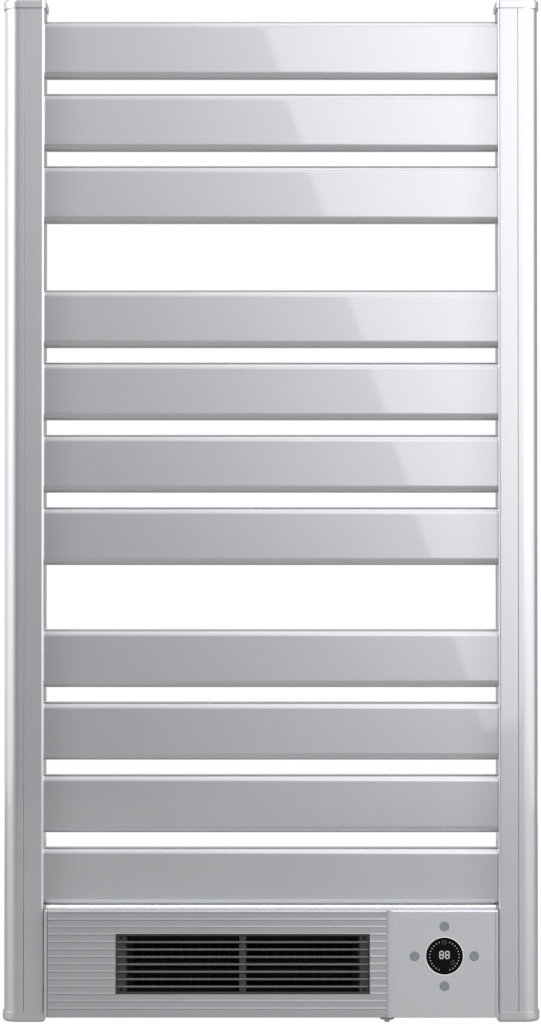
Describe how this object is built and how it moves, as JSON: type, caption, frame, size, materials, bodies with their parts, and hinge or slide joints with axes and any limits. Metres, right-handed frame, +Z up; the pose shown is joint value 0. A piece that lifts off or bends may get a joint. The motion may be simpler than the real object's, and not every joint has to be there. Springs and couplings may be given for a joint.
{
  "type": "heated towel rail",
  "caption": "Wall-hung heated towel rail: flat slats between two rounded posts, with a fan heater box, air outlet grille and round display between the feet.",
  "frame": {"origin": "on the wall plane, in the middle of the four wall fixing holes", "axes": "+X to the right seen from the front, +Y into the wall, +Z up"},
  "size_m": [0.5038, 0.0958, 0.9585],
  "materials": {
    "anodised_aluminium": "satin",
    "anodised_slat": "satin",
    "zinc_steel": "satin",
    "heating_rod": "satin",
    "silicone_sleeve": "matt",
    "housing_coat": "satin",
    "silver_panel": "satin",
    "black_grille": "matt",
    "fan_casing_plastic": "matt",
    "impeller_aluminium": "satin",
    "bush_rubber": "matt",
    "motor_steel": "satin",
    "heater_fins": "satin",
    "heater_frame_plastic": "matt",
    "cutout_steel": "satin",
    "bezel_chrome": "polished",
    "display_glass": "gloss",
    "display_black": "matt",
    "button_grey": "satin",
    "board_green": "satin",
    "terminal_white": "satin",
    "gland_black": "satin",
    "collar_grey": "satin",
    "sensor_steel": "satin"
  },
  "bodies": {
    "frame": {"box_end_left": "silver_panel", "box_end_right": "silver_panel", "box_screws": "zinc_steel", "button_switches": "display_black", "cable_gland": "gland_black", "cap_bottom_left": "anodised_aluminium", "cap_bottom_right": "anodised_aluminium", "cap_top_left": "anodised_aluminium", "cap_top_right": "anodised_aluminium", "control_board": "board_green", "control_panel": "silver_panel", "display_bezel": "bezel_chrome", "display_module": "display_black", "display_window": "display_glass", "fan_bush": "bush_rubber", "fan_casing": "fan_casing_plastic", "front_panel": "silver_panel", "gland_nut": "gland_black", "grille_screws": "zinc_steel", "grub_screws": "zinc_steel", "heater_block": "heater_fins", "heater_frame": "heater_frame_plastic", "heater_harness": "silicone_sleeve", "heater_housing": "housing_coat", "intake_grille": "black_grille", "motor_body": "motor_steel", "motor_screws": "zinc_steel", "outlet_grille": "black_grille", "post_cover_left": "anodised_aluminium", "post_cover_right": "anodised_aluminium", "post_left": "anodised_aluminium", "post_right": "anodised_aluminium", "power_board": "board_green", "room_sensor": "sensor_steel", "sensor_collar": "collar_grey", "slat_01": "anodised_slat", "slat_02": "anodised_slat", "slat_03": "anodised_slat", "slat_04": "anodised_slat", "slat_05": "anodised_slat", "slat_06": "anodised_slat", "slat_07": "anodised_slat", "slat_08": "anodised_slat", "slat_09": "anodised_slat", "slat_10": "anodised_slat", "slat_11": "anodised_slat", "slat_heating_rods": "heating_rod", "slat_screws": "zinc_steel", "standoff_bolts": "zinc_steel", "terminal_block": "terminal_white", "thermal_cutout": "cutout_steel", "wall_cups": "anodised_aluminium", "wall_standoffs": "anodised_aluminium"},
    "fan": {"fan_impeller": "impeller_aluminium", "fan_pin": "zinc_steel", "motor_rotor": "motor_steel"},
    "button_top": {"button_top": "button_grey"},
    "button_left": {"button_left": "button_grey"},
    "button_right": {"button_right": "button_grey"},
    "button_bottom": {"button_bottom": "button_grey"}
  },
  "joints": [
    {"name": "fan_spin", "type": "hinge", "parent": "frame", "child": "fan", "pos_m": [0, -0.0445, -0.422], "axis": [1, 0, 0], "continuous": true},
    {"name": "button_top_press", "type": "slide", "parent": "frame", "child": "button_top", "axis": [0, 1, 0], "range_m": [0, 0.0006], "stiffness_N_per_m": 400, "springref_m": -0.002},
    {"name": "button_left_press", "type": "slide", "parent": "frame", "child": "button_left", "axis": [0, 1, 0], "range_m": [0, 0.0006], "stiffness_N_per_m": 400, "springref_m": -0.002},
    {"name": "button_right_press", "type": "slide", "parent": "frame", "child": "button_right", "axis": [0, 1, 0], "range_m": [0, 0.0006], "stiffness_N_per_m": 400, "springref_m": -0.002},
    {"name": "button_bottom_press", "type": "slide", "parent": "frame", "child": "button_bottom", "axis": [0, 1, 0], "range_m": [0, 0.0006], "stiffness_N_per_m": 400, "springref_m": -0.002}
  ]
}
